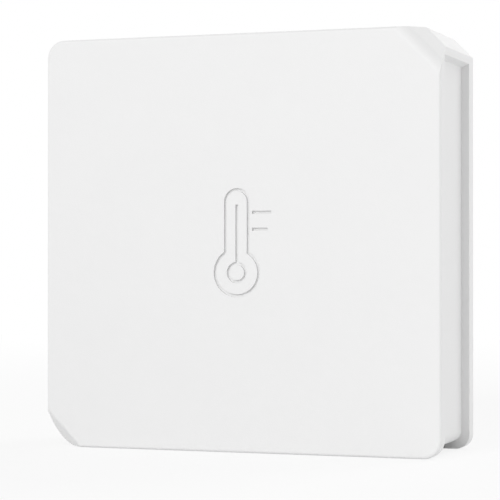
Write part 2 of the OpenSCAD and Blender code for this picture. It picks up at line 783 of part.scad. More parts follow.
module switch_dome() {
    back = switch_d - switch_wall;
    color("#d9d3b8") at_switch() translate([0, 0, (switch_h - plunger_h) / 2]) linear_extrude(plunger_h)
        intersection() {
            translate([back - dome_rise + dome_r, 0]) difference() {
                circle(dome_r + dome_t);
                circle(dome_r);
            }
            translate([back - dome_rise - dome_t, -flange_w / 2]) square([dome_rise + dome_t, flange_w]);
        }
}

// Soldered component with metal ends a little larger than its body
module chip_component(size) {
    end = size[0] / 4;
    translate([-size[0] / 2, end_skin - size[1] / 2, 0])
        cube([size[0], size[1] - 2 * end_skin, size[2] - end_skin]);
    for (side = [-1, 1]) translate([side * (size[0] - end) / 2 - end / 2, -size[1] / 2, 0])
        cube([end, size[1], size[2]]);
}

module chip_capacitors() {
    color("#b59a6c") {
        for (at = chip_capacitors_at) on_board(chip_at + at) chip_component(capacitor_size);
        for (at = sensor_capacitors_at) on_board(sensor_at + at) chip_component(capacitor_size);
    }
}

module chip_resistors() {
    color("#202124") {
        for (at = chip_resistors_at) on_board(chip_at + at) chip_component(resistor_size);
        for (at = sensor_resistors_at) on_board(sensor_at + at) chip_component(resistor_size);
    }
}

module chip_inductors() {
    color("#5b5f66") for (at = chip_inductors_at) on_board(chip_at + at) chip_component(inductor_size);
}

// Folded strip: uprights joined at the top and the bottom in turn, fed from the first inductor
module antenna_trace() {
    start = chip_at[0] + chip_side + capacitor_size[0] / 2 + 2 * chip_margin;
    bottom = board_half - trace_inset - fold_h;
    feed_x = chip_at[0] + chip_side + inductor_size[0] / 2 - start;
    feed_y = chip_at[1] - inductor_start - trace_w / 2 - bottom;
    color("#c58b52") on_board([start, bottom]) linear_extrude(copper_t) {
        translate([feed_x, feed_y]) square([trace_w - feed_x, trace_w]);
        translate([0, feed_y]) square([trace_w, fold_h - feed_y]);
        for (k = [0:fold_count]) translate([k * fold_pitch, 0]) square([trace_w, fold_h]);
        for (k = [0:fold_count - 1])
            translate([k * fold_pitch, k % 2 == 0 ? fold_h - trace_w : 0]) square([fold_pitch, trace_w]);
    }
}

module test_pads() {
    start = pin_inset + pin_d + pad_pitch - board_half;
    color("#d2b45a") on_board([start, pad_rise - board_half]) for (k = [0:pad_count - 1])
        translate([k * pad_pitch, 0, 0]) cylinder(d = pad_d, h = copper_t);
}

front_cover();
rear_cover();
circuit_board();
battery_holder();
positive_contact();
negative_contact();
cell_can();
cell_gasket();
cell_cap();
cell_core();
radio_chip();
radio_crystal();
clock_crystal();
climate_sensor();
led_base();
led_lens();
switch_base();
switch_shell();
switch_plunger();
switch_dome();
chip_capacitors();
chip_resistors();
chip_inductors();
antenna_trace();
test_pads();
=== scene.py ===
import bmesh
import bpy
import math
import numpy as np
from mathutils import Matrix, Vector


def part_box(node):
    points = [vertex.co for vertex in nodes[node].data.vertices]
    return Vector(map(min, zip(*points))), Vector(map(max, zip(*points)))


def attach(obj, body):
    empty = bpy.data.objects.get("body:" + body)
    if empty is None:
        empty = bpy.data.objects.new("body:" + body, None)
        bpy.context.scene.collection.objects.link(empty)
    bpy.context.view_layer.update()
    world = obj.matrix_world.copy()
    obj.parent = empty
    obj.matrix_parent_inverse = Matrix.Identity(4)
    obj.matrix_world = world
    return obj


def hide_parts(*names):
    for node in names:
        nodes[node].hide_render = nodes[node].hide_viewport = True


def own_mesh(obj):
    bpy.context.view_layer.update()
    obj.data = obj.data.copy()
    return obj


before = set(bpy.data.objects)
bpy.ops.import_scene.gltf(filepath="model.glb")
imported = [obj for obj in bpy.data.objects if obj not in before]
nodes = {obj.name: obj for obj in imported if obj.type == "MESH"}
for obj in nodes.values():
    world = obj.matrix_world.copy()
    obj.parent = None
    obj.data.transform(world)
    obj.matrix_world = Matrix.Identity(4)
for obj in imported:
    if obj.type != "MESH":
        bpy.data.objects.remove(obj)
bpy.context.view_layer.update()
MM = 0.001

# The photograph's view: a level lens close to the front right, at about the middle of the case,
# so that the right side shows beside the face and the edges run together towards the left.
camera_at = Vector((68.83, -192.65, 19.51)) * MM
camera_yaw = math.radians(19.95)
camera_pitch = math.radians(0.36)
camera_lens = 139.2
camera_sensor = 36
camera_near = 10 * MM

camera_data = bpy.data.cameras.new("photo_camera")
camera_data.lens = camera_lens
camera_data.sensor_width = camera_sensor
camera_data.clip_start = camera_near
camera = bpy.data.objects.new("photo_camera", camera_data)
camera.location = camera_at
camera.rotation_euler = (math.pi / 2 + camera_pitch, 0, camera_yaw)
bpy.context.scene.collection.objects.link(camera)
bpy.context.scene.camera = camera
bpy.context.scene.view_settings.view_transform = "Standard"

# Plain soft light: an even pale surround, a broad lamp before the face, and two behind that light the
# top and the right side. Each lamp has its place in metres, its width and its power. Seen directly or
# in a reflection, the surround is white.
surround_level = 0.58
lamp_target = Vector((0, 0, 21.5)) * MM
lamps = {
    "front_lamp": (Vector((-0.445, -2.52, 1.08)), 0.9, 27.0),
    "top_lamp": (Vector((0.32, 0.58, 0.60)), 0.4, 1.7),
    "right_lamp": (Vector((0.72, 0.45, 0.10)), 0.3, 1.1),
}


def new_node(tree, kind, **settings):
    """One shader node of that kind. A setting is an attribute of the node, or else the value of the input
    socket of that name."""
    node = tree.nodes.new(kind)
    for name, value in settings.items():
        if hasattr(node, name):
            setattr(node, name, value)
        else:
            node.inputs[name.replace("_", " ")].default_value = value
    return node


def feed(tree, socket, value):
    """Links an input socket to a value that is an output socket, or sets it to a plain value."""
    if isinstance(value, bpy.types.NodeSocket):
        tree.links.new(value, socket)
    else:
        socket.default_value = value


def measure(tree, operation, *values):
    """Output of a Math node on sockets or numbers."""
    node = new_node(tree, "ShaderNodeMath", operation=operation)
    for socket, value in zip(node.inputs, values):
        feed(tree, socket, value)
    return node.outputs[0]


def shown_directly(tree):
    """Output that is 1 for camera, glossy and transmission rays, and 0 for the rays that carry light."""
    ray = new_node(tree, "ShaderNodeLightPath").outputs
    seen_or_mirrored = measure(tree, "MAXIMUM", ray["Is Camera Ray"], ray["Is Glossy Ray"])
    return measure(tree, "MAXIMUM", seen_or_mirrored, ray["Is Transmission Ray"])


def mix_shaders(tree, share, first, second):
    """Output of a mix of two shader nodes, in which a socket gives the second one's share."""
    mix = new_node(tree, "ShaderNodeMixShader")
    for socket, value in zip(mix.inputs, (share, first.outputs[0], second.outputs[0])):
        tree.links.new(value, socket)
    return mix.outputs[0]


world = bpy.data.worlds.new("studio")
bpy.context.scene.world = world
world.use_nodes = True
tree = world.node_tree
tree.nodes.clear()
out = new_node(tree, "ShaderNodeOutputWorld")
lit = new_node(tree, "ShaderNodeBackground", Color=(1, 1, 1, 1), Strength=surround_level)
seen = new_node(tree, "ShaderNodeBackground", Color=(1, 1, 1, 1), Strength=1)
tree.links.new(mix_shaders(tree, shown_directly(tree), lit, seen), out.inputs["Surface"])

for name, (at, width, power) in lamps.items():
    lamp_data = bpy.data.lights.new(name, "AREA")
    lamp_data.size = width
    lamp_data.energy = power
    lamp = bpy.data.objects.new(name, lamp_data)
    lamp.location = at
    lamp.rotation_euler = (lamp_target - at).to_track_quat("-Z", "Y").to_euler()
    bpy.context.scene.collection.objects.link(lamp)

# Floor: a plain pale board under the standing sensor, with its sizes in metres. It keeps a faint shadow
# near the object, and is white further off.
floor_half = 4.0
floor_drop = 0.02 * MM
floor_colour = (0.9, 0.9, 0.9, 1)
near_share, far_share = 0.82, 1.0
near_by, far_by = 0.06, 0.30
crease_angle = math.radians(40)
merge_within = 1e-8


def grid_mesh(name, points, close_rows=False, close_columns=False):
    """Mesh of a grid of points of shape (rows, columns, 3), or of several such grids stacked in front: a quad
    between each four neighbours. Doubled points, as at poles, are merged, and the faces turned outwards."""
    rows, columns = points.shape[-3:-1]
    index = np.arange(rows * columns).reshape(rows, columns)
    if close_rows:
        index = np.concatenate([index, index[:1]], 0)
    if close_columns:
        index = np.concatenate([index, index[:, :1]], 1)
    quads = np.stack([index[:-1, :-1], index[:-1, 1:], index[1:, 1:], index[1:, :-1]], -1).reshape(-1, 4)
    grids = points.size // (3 * rows * columns)
    quads = quads + rows * columns * np.arange(grids)[:, None, None]
    mesh = bpy.data.meshes.new(name)
    mesh.from_pydata(points.reshape(-1, 3).tolist(), [], quads.reshape(-1, 4).tolist())
    skin = bmesh.new()
    skin.from_mesh(mesh)
    bmesh.ops.remove_doubles(skin, verts=skin.verts, dist=merge_within)
    bmesh.ops.recalc_face_normals(skin, faces=skin.faces)
    skin.to_mesh(mesh)
    skin.free()
    mesh.shade_smooth()
    mesh.set_sharp_from_angle(angle=crease_angle)
    return mesh


def new_material(name):
    """Empty node material: itself, its node tree and its output node."""
    material = bpy.data.materials.new(name)
    material.use_nodes = True
    material.node_tree.nodes.clear()
    return material, material.node_tree, new_node(material.node_tree, "ShaderNodeOutputMaterial")


span = np.array([-floor_half, floor_half])
floor_x, floor_y = np.meshgrid(span, span, indexing="ij")
floor_points = np.stack([floor_x, floor_y, np.full_like(floor_x, -floor_drop)], -1)
floor = bpy.data.objects.new("floor", grid_mesh("floor", floor_points))
bpy.context.scene.collection.objects.link(floor)
floor_finish, tree, out = new_material("pale_floor")
paint = new_node(tree, "ShaderNodeBsdfDiffuse", Color=floor_colour)
white = new_node(tree, "ShaderNodeEmission", Strength=1)
place = new_node(tree, "ShaderNodeTexCoord")
away = new_node(tree, "ShaderNodeVectorMath", operation="LENGTH")
spread = new_node(
    tree, "ShaderNodeMapRange", interpolation_type="SMOOTHSTEP",
    From_Min=near_by, From_Max=far_by, To_Min=near_share, To_Max=far_share,
)
tree.links.new(place.outputs["Object"], away.inputs[0])
tree.links.new(away.outputs["Value"], spread.inputs["Value"])
white_share = measure(tree, "MULTIPLY", shown_directly(tree), spread.outputs[0])
tree.links.new(mix_shaders(tree, white_share, paint, white), out.inputs["Surface"])
floor.data.materials.append(floor_finish)

# Front cover: the housing, injection moulded in white ABS in one piece with its icon, walls, bosses and
# board latches. The tool's fine spark-eroded texture gives it a matt skin.
white_colour = (0.86, 0.86, 0.86, 1)


def new_group(name, inputs, outputs):
    """Empty shader node group with named sockets: itself and its input and output nodes. A socket whose
    default is a tuple is a colour, else a number."""
    group = bpy.data.node_groups.new(name, "ShaderNodeTree")
    for title, default in inputs.items():
        kind = "NodeSocketColor" if isinstance(default, tuple) else "NodeSocketFloat"
        group.interface.new_socket(name=title, in_out="INPUT", socket_type=kind).default_value = default
    for title, kind in outputs.items():
        group.interface.new_socket(name=title, in_out="OUTPUT", socket_type=kind)
    return group, new_node(group, "NodeGroupInput"), new_node(group, "NodeGroupOutput")


def noise(tree, vector, scale, **settings):
    """Output of a noise at the places that a vector socket gives."""
    node = new_node(tree, "ShaderNodeTexNoise", **settings)
    tree.links.new(vector, node.inputs["Vector"])
    feed(tree, node.inputs["Scale"], scale)
    return node.outputs["Fac"]


def scaled(tree, colour, factor):
    """Output of a colour, or of a colour socket, times a factor socket."""
    node = new_node(tree, "ShaderNodeVectorMath", operation="SCALE")
    feed(tree, node.inputs[0], colour)
    tree.links.new(factor, node.inputs["Scale"])
    return node.outputs[0]


def wire_skin(tree, tap, sink, clouds, grain):
    """Joins two noises to a skin's outputs. The colour is scaled by 1 plus the tone spread times the centred
    clouds, the roughness gains the gloss spread times the centred grain, and the grain is the height."""
    centred = []
    for value in (clouds, grain):
        node = new_node(
            tree, "ShaderNodeMapRange", clamp=False, From_Min=0.25, From_Max=0.75, To_Min=-0.5, To_Max=0.5
        )
        tree.links.new(value, node.inputs["Value"])
        centred.append(node.outputs[0])
    tone = measure(tree, "MULTIPLY_ADD", centred[0], tap.outputs["Tone Spread"], 1)
    gloss = measure(tree, "MULTIPLY_ADD", centred[1], tap.outputs["Gloss Spread"], tap.outputs["Roughness"])
    tree.links.new(scaled(tree, tap.outputs["Colour"], tone), sink.inputs["Colour"])
    tree.links.new(gloss, sink.inputs["Roughness"])
    tree.links.new(grain, sink.inputs["Height"])


skin_outputs = {"Colour": "NodeSocketColor", "Roughness": "NodeSocketFloat", "Height": "NodeSocketFloat"}
moulded_skin, tap, sink = new_group(
    "moulded_skin",
    {"Colour": (1.0, 1.0, 1.0, 1.0), "Tone Spread": 0.02, "Roughness": 0.5, "Gloss Spread": 0.1,
     "Grain Scale": 9000.0, "Cloud Scale": 160.0},
    skin_outputs,
)
place = new_node(moulded_skin, "ShaderNodeTexCoord").outputs["Object"]
grain = noise(moulded_skin, place, tap.outputs["Grain Scale"], Detail=3, Roughness=0.6)
clouds = noise(moulded_skin, place, tap.outputs["Cloud Scale"], Detail=4, Roughness=0.55)
wire_skin(moulded_skin, tap, sink, clouds, grain)


def shade(tree, out, colour, roughness, height, depth, metallic=0.0):
    """Principled shader on a material's output. Its colour, roughness and metal are sockets or plain values,
    and its bump of that depth in metres comes from a height socket."""
    shader = new_node(tree, "ShaderNodeBsdfPrincipled")
    bump = new_node(tree, "ShaderNodeBump", Strength=1, Distance=depth)
    feed(tree, shader.inputs["Base Color"], colour)
    feed(tree, shader.inputs["Roughness"], roughness)
    feed(tree, shader.inputs["Metallic"], metallic)
    tree.links.new(height, bump.inputs["Height"])
    tree.links.new(bump.outputs[0], shader.inputs["Normal"])
    tree.links.new(shader.outputs[0], out.inputs["Surface"])


def skinned(name, group, depth, metallic=0.0, **values):
    """Material whose colour, roughness and bump of that depth in metres come from a skin group."""
    material, tree, out = new_material(name)
    skin = new_node(tree, "ShaderNodeGroup", node_tree=group, **values).outputs
    shade(tree, out, skin["Colour"], skin["Roughness"], skin["Height"], depth, metallic)
    return material


def dress(node, material):
    """Gives a CAD node that material alone."""
    nodes[node].data.materials.clear()
    nodes[node].data.materials.append(material)


white_plastic = skinned(
    "white_moulded_plastic", moulded_skin, depth=9e-6, Colour=white_colour, Tone_Spread=0.01, Roughness=0.48,
    Gloss_Spread=0.16,
)
dress("front_cover", white_plastic)

# Circuit board: glass-fibre laminate with green solder mask on both faces and its pale cut edges bare.
# The moulded latches press it on the bosses. Round the aerial it has no copper plane, so it is lighter.
board_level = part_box("circuit_board")[1].y / MM
mask_green = (0.012, 0.135, 0.052, 1)
bare_green = (0.045, 0.170, 0.050, 1)
edge_colour = (0.42, 0.36, 0.16, 1)
aerial_from_x, aerial_from_z = -11.7, 33.0
weave_pitch = 0.55
weave_depth = 0.12
plies_per_mm = 7
ply_level, ply_depth = 0.9, 0.18
mask_rough, edge_rough = 0.36, 0.78
mask_cloud_scale = 220


def split(tree, vector):
    """X, Y and Z outputs of a vector socket."""
    parts = new_node(tree, "ShaderNodeSeparateXYZ")
    tree.links.new(vector, parts.inputs[0])
    return parts.outputs


def blend_colours(tree, share, first, second):
    """Output of a mix of two colours or colour sockets, in which a socket gives the second one's share."""
    node = new_node(tree, "ShaderNodeMix", data_type="RGBA")
    tree.links.new(share, node.inputs[0])
    feed(tree, node.inputs[6], first)
    feed(tree, node.inputs[7], second)
    return node.outputs[2]


def wave(tree, along, length):
    """Output of the sine of a place, with one wave in that length in millimetres."""
    return measure(tree, "SINE", measure(tree, "MULTIPLY", along, math.tau / (length * MM)))


solder_mask, tree, out = new_material("green_solder_mask")
place = new_node(tree, "ShaderNodeTexCoord").outputs["Object"]
across, deep, up = split(tree, place)
facing_depth = split(tree, new_node(tree, "ShaderNodeNewGeometry").outputs["Normal"])["Y"]
on_face = measure(tree, "GREATER_THAN", measure(tree, "ABSOLUTE", facing_depth), 0.5)
right_of_chip = measure(tree, "GREATER_THAN", across, aerial_from_x * MM)
above_plane = measure(tree, "GREATER_THAN", up, aerial_from_z * MM)
no_plane = measure(tree, "MULTIPLY", right_of_chip, above_plane)
weave = measure(tree, "MULTIPLY", wave(tree, across, weave_pitch), wave(tree, up, weave_pitch))
weave_tone = measure(tree, "MULTIPLY_ADD", weave, weave_depth, 1)
ply_tone = measure(tree, "MULTIPLY_ADD", wave(tree, deep, 1 / plies_per_mm), ply_depth, ply_level)
mask_clouds = noise(tree, place, mask_cloud_scale, Detail=4)
woven = scaled(tree, blend_colours(tree, no_plane, mask_green, bare_green), weave_tone)
clouded = scaled(tree, woven, measure(tree, "ADD", mask_clouds, 0.5))
cut_edge = scaled(tree, edge_colour[:3], ply_tone)
mask_gloss = measure(tree, "MULTIPLY_ADD", on_face, mask_rough - edge_rough, edge_rough)
shade(tree, out, blend_colours(tree, on_face, cut_edge, clouded), mask_gloss, mask_clouds, depth=2e-6)
dress("circuit_board", solder_mask)

# Copper on the board: the folded aerial and the tracks lie under the mask as raised paler lines, with
# tented vias at their ends. The test pads are bare and gold plated, each with the mark of a probe.
track_width = 0.16
track_thick = 0.035
via_profile = ((0, 0), (0.32, 0), (0.26, 0.03), (0.17, 0.036), (0.10, 0.014), (0, 0.010))
probe_profile = (
    (0, 0), (0.62, 0), (0.56, 0.062), (0.20, 0.062), (0.12, 0.052), (0.05, 0.050), (0, 0.058)
)
masked_copper_colour = (0.045, 0.270, 0.095, 1)
gold_colour = (0.83, 0.60, 0.24, 1)
chip_via_z = 31.4
corridor_top, corridor_foot = 27.2, 16.8
switch_shift = 0.7
pad_z, pad_entry_z = 4.5, 5.0
sensor_foot_x, sensor_bend = 15.2, 0.7
passive_foot_x, passive_bend = 9.2, 0.5
right_vias_x, left_vias_x, low_vias_z = 18.75, -18.7, 2.85


def on_flat(points, level, way=1):
    """Points given in millimetres as across, up the case and off a flat, to metres in the shared frame.
    The flat is at that depth and faces the back where way is 1, or the front where it is -1."""
    return np.stack([points[..., 0], level + way * points[..., 2], points[..., 1]], -1) * MM


def row_of(x, z):
    """Points of shape (count, 2) whose x and z are one number, or one for each point."""
    return np.stack(np.broadcast_arrays(x, z), -1)


def lanes(*corners):
    """Paths side by side, of shape (lanes, corners, 2), whose corners are rows of points across the lanes."""
    return np.stack([row_of(*corner) for corner in corners], 1)


def strips(paths, width, thick, looped=False):
    """Strips along paths of shape (count, points, 2): a flat section with sloping sides is carried along each
    path, square to it and mitred at its bends. It closes on the two ends, or runs on into its start."""
    paths = np.asarray(paths, float)
    step = np.roll(paths, -1, 1) - paths if looped else np.diff(paths, axis=1)
    way = step / np.linalg.norm(step, axis=-1, keepdims=True)
    side = np.stack([-way[..., 1], way[..., 0]], -1)
    if looped:
        before, after = np.roll(side, 1, 1), side
    else:
        before, after = np.concatenate([side[:, :1], side], 1), np.concatenate([side, side[:, -1:]], 1)
    mitre = (before + after) / (1 + (before * after).sum(-1, keepdims=True))
    section = np.array([[-0.5, 0], [-0.42, 0.8], [-0.34, 1], [0.34, 1], [0.42, 0.8], [0.5, 0]])
    flat = paths[:, :, None] + mitre[:, :, None] * section[:, :1] * width
    rise = np.broadcast_to(section[:, 1:] * thick, flat.shape[:-1] + (1,))
    skin = np.concatenate([flat, rise], -1)
    if looped:
        return skin
    ends = np.concatenate([paths, np.full(paths.shape[:2] + (1,), thick / 2)], -1)[:, :, None]
    ends = np.broadcast_to(ends, skin.shape)
    return np.concatenate([ends[:, :1], skin, ends[:, -1:]], 1)


def turned(profile, centres, sides=28):
    """Round forms at the centres, of shape (count, 2): a profile of radius and height is turned about the
    axis that stands on the flat at each centre."""
    radius, height = np.asarray(profile, float).T
    turn = np.linspace(0, math.tau, sides, endpoint=False)
    ring = np.stack([np.outer(radius, np.cos(turn)), np.outer(radius, np.sin(turn))], -1)
    flat = np.asarray(centres, float)[:, None, None] + ring
    rise = np.broadcast_to(height[:, None, None], flat.shape[:-1] + (1,))
    return np.concatenate([flat, rise], -1)


def add_piece(name, points, material, body, close_rows=False):
    """A piece of the object from its grids of points in metres. It rides on that body and has that material."""
    mesh = grid_mesh(name, points, close_rows, close_columns=True)
    mesh.materials.append(material)
    piece = bpy.data.objects.new(name, mesh)
    bpy.context.scene.collection.objects.link(piece)
    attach(piece, body)
    return piece


def on_board(name, points, material, close_rows=False):
    """A piece that stands on the board's back, from grids of points across, up and off it in millimetres."""
    return add_piece(name, on_flat(points, board_level), material, "case", close_rows)


masked_copper = skinned(
    "copper_under_mask", moulded_skin, depth=1e-6, Colour=masked_copper_colour, Tone_Spread=0.25,
    Roughness=0.34, Gloss_Spread=0.1, Grain_Scale=6000.0, Cloud_Scale=500.0,
)
gold_plate = skinned(
    "gold_plating", moulded_skin, depth=1.5e-6, metallic=1.0, Colour=gold_colour, Tone_Spread=0.15,
    Roughness=0.3, Gloss_Spread=0.16, Grain_Scale=16000.0, Cloud_Scale=900.0,
)
dress("antenna_trace", masked_copper)
dress("test_pads", gold_plate)

lane = np.arange(4)
pad_x = -13.7 + 1.7 * lane
corridor_x = -15.6 + 0.45 * lane
switch_x = corridor_x + switch_shift
chip_via_x = -13.9 + 0.72 * lane
fan_z = 6.2 - 0.25 * lane
bus = lanes(
    (chip_via_x, chip_via_z), (chip_via_x, corridor_top + chip_via_x - corridor_x),
    (corridor_x, corridor_top), (corridor_x, corridor_foot), (switch_x, corridor_foot - switch_shift),
    (switch_x, fan_z + pad_x - switch_x), (pad_x, fan_z), (pad_x, pad_entry_z),
)
lane = np.arange(3)
sensor_z = 6.1 - 0.6 * lane
sensor_x = 17.3 + 0.4 * lane
turn_z = 28.0 + 0.17 * lane
turn_by = 1.5 - 0.15 * lane
sensor_via_z = 31.4 - 0.6 * lane
sensor_lines = lanes(
    (sensor_foot_x, sensor_z), (sensor_x - sensor_bend, sensor_z), (sensor_x, sensor_z + sensor_bend),
    (sensor_x, turn_z), (sensor_x - turn_by, turn_z + turn_by), (sensor_x - turn_by, sensor_via_z),
)
passive_z = 3.25 + 0.9 * lane
passive_x = 6.6 + 0.55 * lane
passive_via_z = 5.2 + 0.7 * lane
passive_lines = lanes(
    (passive_foot_x, passive_z), (passive_x + passive_bend, passive_z),
    (passive_x, passive_z + passive_bend), (passive_x, passive_via_z),
)
crystal_lines = [
    [(-16.4, 33.6), (-16.4, 32.2), (-16.4, 31.4)],
    [(-15.0, 33.6), (-15.0, 32.2), (-15.0, 31.4)],
    [(-18.55, 34.6), (-18.55, 30.0), (-18.55, 27.8)],
    [(-13.6, 33.6), (-13.6, 31.7), (-13.9, 31.4)],
]
for name, lines in (
    ("bus_tracks", bus), ("sensor_tracks", sensor_lines), ("passive_tracks", passive_lines),
    ("crystal_tracks", crystal_lines),
):
    on_board(name, strips(lines, track_width, track_thick), masked_copper)

vias = np.concatenate([
    row_of(right_vias_x, np.linspace(10, 33, 9)), row_of(np.linspace(-7.5, 5.5, 5), low_vias_z),
    row_of(left_vias_x, np.linspace(17, 26, 5)), bus[:, 0], sensor_lines[:, -1], passive_lines[:, -1],
])
on_board("vias", turned(via_profile, vias), masked_copper)
on_board("probed_pads", turned(probe_profile, row_of(pad_x, pad_z)), gold_plate)

# Marking on the board: thin white ink, screen printed. Outlines of the parts, arcs round the cell holder,
# a dot at the chip's first contact and a plus sign beside the positive contact.
ink_width = 0.15
ink_thick = 0.018
ink_colour = (0.80, 0.80, 0.77, 1)
outlined_low = [(-18.45, 10.2), (-18.3, 28.85), (-18.3, 26.95), (12.4, 3.9), (8.9, 2.75)]
outlined_high = [(-15.15, 15.8), (-14.5, 31.85), (-15.7, 28.65), (15.6, 7.1), (10.4, 5.55)]
cell_middle = np.array((0, 19.5))
arc_radius = 14.05
arc_starts = np.radians([[20], [105], [200], [285]])
arc_sweep = np.radians(55)
bracket = np.array([(1.0, 0.0), (0.0, 0.0), (0.0, -1.0)])
bracket_at = np.array([(-18.35, 39.85), (-11.65, 39.85), (-11.65, 33.15)])
bracket_way = np.array([(1, 1), (-1, 1), (-1, -1)])
plus_at = np.array((14.9, 23.4))
plus_arm = 0.62
plus_half_width = 0.8 * ink_width
plus_slope = 0.2 * ink_width
dot_at = (-18.6, 40.0)
dot_profile = ((0, 0), (0.22, 0), (0.20, ink_thick), (0, ink_thick))


def frame_paths(low, high):
    """Rectangles from their low and high corners, as looped paths."""
    low, high = np.asarray(low, float), np.asarray(high, float)
    x = np.stack([low[:, 0], high[:, 0], high[:, 0], low[:, 0]], 1)
    z = np.stack([low[:, 1], low[:, 1], high[:, 1], high[:, 1]], 1)
    return np.stack([x, z], -1)


def raised_plus(middle, arm, half_width, height, slope):
    """Raised plus sign: round it the radius is the larger of the two crossed bars' radii in that direction;
    up it the outline draws in by the slope, with a soft shoulder, and foot and top close on the middle."""
    turn = np.linspace(0, math.tau, 240, endpoint=False)
    cos, sin = np.maximum(np.abs(np.cos(turn)), 1e-9), np.maximum(np.abs(np.sin(turn)), 1e-9)
    rise = height * np.array([0, 0, 0.35, 0.75, 0.95, 1, 1])
    inset = slope * np.array([0, 0, 0.25, 0.5, 0.75, 1, 1])[:, None]
    keep = np.array([0, 1, 1, 1, 1, 1, 0])[:, None]
    long_bar, short_bar = arm - inset, half_width - inset
    level = np.minimum(long_bar / cos, short_bar / sin)
    upright = np.minimum(short_bar / cos, long_bar / sin)
    radius = keep * np.maximum(level, upright)
    flat = middle + radius[..., None] * np.stack([np.cos(turn), np.sin(turn)], -1)
    return np.concatenate([flat, np.broadcast_to(rise[:, None, None], flat.shape[:-1] + (1,))], -1)


print_ink = skinned(
    "white_print_ink", moulded_skin, depth=2e-6, Colour=ink_colour, Tone_Spread=0.1, Roughness=0.62,
    Gloss_Spread=0.1, Grain_Scale=12000.0, Cloud_Scale=1500.0,
)
outlines = strips(frame_paths(outlined_low, outlined_high), ink_width, ink_thick, looped=True)
on_board("printed_outlines", outlines, print_ink, close_rows=True)
arc = arc_starts + arc_sweep * np.linspace(0, 1, 28)
arcs = cell_middle + arc_radius * np.stack([np.cos(arc), np.sin(arc)], -1)
on_board("printed_arcs", strips(arcs, ink_width, ink_thick), print_ink)
brackets = bracket_at[:, None] + bracket * bracket_way[:, None]
on_board("printed_brackets", strips(brackets, ink_width, ink_thick), print_ink)
plus_mark = raised_plus(plus_at, plus_arm, plus_half_width, ink_thick, plus_slope)
on_board("printed_plus", plus_mark, print_ink)
on_board("printed_dot", turned(dot_profile, [dot_at]), print_ink)

# Radio chip: a leadless square package in black moulding compound. Tinned lands along its four sides are
# soldered to the board.
land_pitch = 0.5
lands_per_side = 10
land_width = 0.26
land_height = 0.22
land_reach = 0.28
compound_colour = (0.022, 0.022, 0.024, 1)
solder_colour = (0.66, 0.66, 0.65, 1)


def footprint(node):
    """Low and high corner of a CAD node's outline on the board, across and up the case in millimetres."""
    return [np.array((corner.x, corner.z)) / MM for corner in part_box(node)]


def lands_round(low, high, pitch, count, sides):
    """Feet and outward directions of lands along the named sides of a package's outline."""
    way_of = {"right": (1, 0), "left": (-1, 0), "top": (0, 1), "foot": (0, -1)}
    ways = np.array([way_of[side] for side in sides])
    along = (np.arange(count) - (count - 1) / 2) * pitch
    across = np.stack([-ways[:, 1], ways[:, 0]], -1)
    feet = ((low + high) / 2 + ways * (high - low) / 2)[:, None] + across[:, None] * along[:, None]
    return feet.reshape(-1, 2), np.repeat(ways, count, 0)


def fillets(feet, ways, width, height, reach):
    """Solder fillets: from the foot of a metal end the section falls outwards along the hollow curve
    height times (1 - s) squared. It is carried across the width and shrinks to nothing at both sides."""
    feet, ways = np.asarray(feet, float), np.asarray(ways, float)
    width, height, reach = (np.broadcast_to(size, len(feet)).astype(float) for size in (width, height, reach))
    s = np.linspace(0, 1, 6)
    away = np.concatenate([[0], s])
    fall = np.concatenate([[0], (1 - s) ** 2])
    across = np.linspace(-1, 1, 9)
    swell = (1 - across ** 4)[None, :, None]
    side = np.stack([-ways[:, 1], ways[:, 0]], -1)
    out_by = (reach[:, None, None] * swell * away)[..., None]
    over_by = (width[:, None, None] / 2 * across[:, None])[..., None]
    flat = feet[:, None, None] + ways[:, None, None] * out_by + side[:, None, None] * over_by
    rise = height[:, None, None] * swell * fall
    return np.concatenate([flat, rise[..., None]], -1)


chip_compound = skinned(
    "black_moulding_compound", moulded_skin, depth=4e-6, Colour=compound_colour, Tone_Spread=0.3,
    Roughness=0.52, Gloss_Spread=0.25, Grain_Scale=14000.0, Cloud_Scale=2600.0,
)
solder = skinned(
    "reflowed_solder", moulded_skin, depth=5e-6, metallic=1.0, Colour=solder_colour, Tone_Spread=0.14,
    Roughness=0.27, Gloss_Spread=0.2, Grain_Scale=9000.0, Cloud_Scale=4000.0,
)
dress("radio_chip", chip_compound)
low, high = footprint("radio_chip")
feet, ways = lands_round(low, high, land_pitch, lands_per_side, ("right", "left", "top", "foot"))
on_board("chip_lands", fillets(feet, ways, land_width, land_height, land_reach), solder)

# Crystals: a ceramic tray closed by a thin metal lid that is welded on along its rim, soldered at the
# corners. The larger one times the radio, the smaller one the clock.
lid_height = 0.25
lid_streaks = (500, 9000, 9000)
ceramic_colour = (0.10, 0.075, 0.055, 1)
lid_colour = (0.74, 0.70, 0.60, 1)
ceramic_rough, lid_rough = 0.68, 0.33
corner_solder = 0.5
corner_solder_height = 0.3
corner_solder_reach = 0.32


def lidded(name, lid_level):
    """Material that is ceramic below that depth and brushed lid metal beyond it, with streaks along the
    case's width."""
    material, tree, out = new_material(name)
    place = new_node(tree, "ShaderNodeTexCoord").outputs["Object"]
    stretch = new_node(tree, "ShaderNodeMapping", Scale=lid_streaks)
    tree.links.new(place, stretch.inputs["Vector"])
    streaks = noise(tree, stretch.outputs[0], 1, Detail=3)
    lid = measure(tree, "GREATER_THAN", split(tree, place)["Y"], lid_level)
    tone = measure(tree, "ADD", streaks, 0.5)
    colour = scaled(tree, blend_colours(tree, lid, ceramic_colour, lid_colour), tone)
    gloss = measure(tree, "MULTIPLY_ADD", lid, lid_rough - ceramic_rough, ceramic_rough)
    shade(tree, out, colour, gloss, streaks, depth=2e-6, metallic=lid)
    return material


